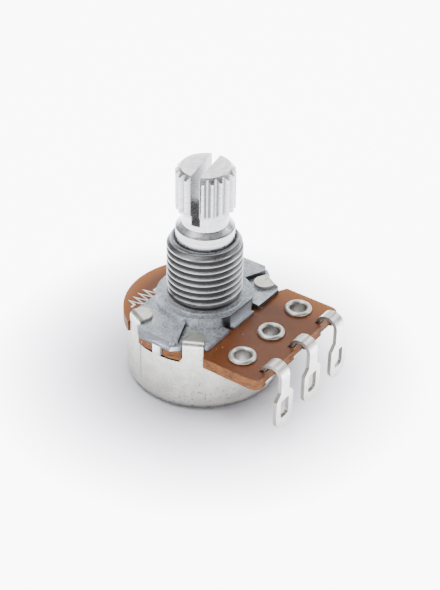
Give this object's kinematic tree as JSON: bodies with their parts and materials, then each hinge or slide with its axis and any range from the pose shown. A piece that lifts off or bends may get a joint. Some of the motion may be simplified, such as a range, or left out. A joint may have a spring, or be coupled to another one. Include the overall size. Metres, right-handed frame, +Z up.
{
  "type": "rotary potentiometer",
  "caption": "Panel-mount rotary potentiometer with threaded bushing, knurled split shaft, laminate wafer, folded-tab can and hooked solder lugs.",
  "frame": {"origin": "centre of the can's flat base, on the shaft axis", "axes": "+Z up the shaft; the terminal row runs along X on the -Y side"},
  "size_m": [0.0172, 0.0219, 0.0241],
  "materials": {
    "zinc": "satin die-cast",
    "phenolic": "semi-gloss laminate",
    "carbon": "matte print",
    "silver": "satin plating",
    "can_steel": "satin plating",
    "shaft_alloy": "turned satin",
    "clip_steel": "satin",
    "rotor_plastic": "matte",
    "bronze": "satin"
  },
  "bodies": {
    "housing": {"bushing_plate": "zinc", "wafer": "phenolic", "carbon_track": "carbon", "collector_ring": "silver", "contact_pad_1": "silver", "contact_pad_3": "silver", "terminal_1": "silver", "terminal_2": "silver", "terminal_3": "silver", "eyelet_1": "silver", "eyelet_2": "silver", "eyelet_3": "silver", "cover": "can_steel"},
    "rotor_body": {"shaft": "shaft_alloy", "retaining_clip": "clip_steel", "rotor": "rotor_plastic", "wiper_spring": "bronze"}
  },
  "joints": [
    {"name": "shaft_turn", "type": "hinge", "parent": "housing", "child": "rotor_body", "pos_m": [0, 0, 0.012], "axis": [0, 0, 1], "range_deg": [-150, 150]}
  ]
}
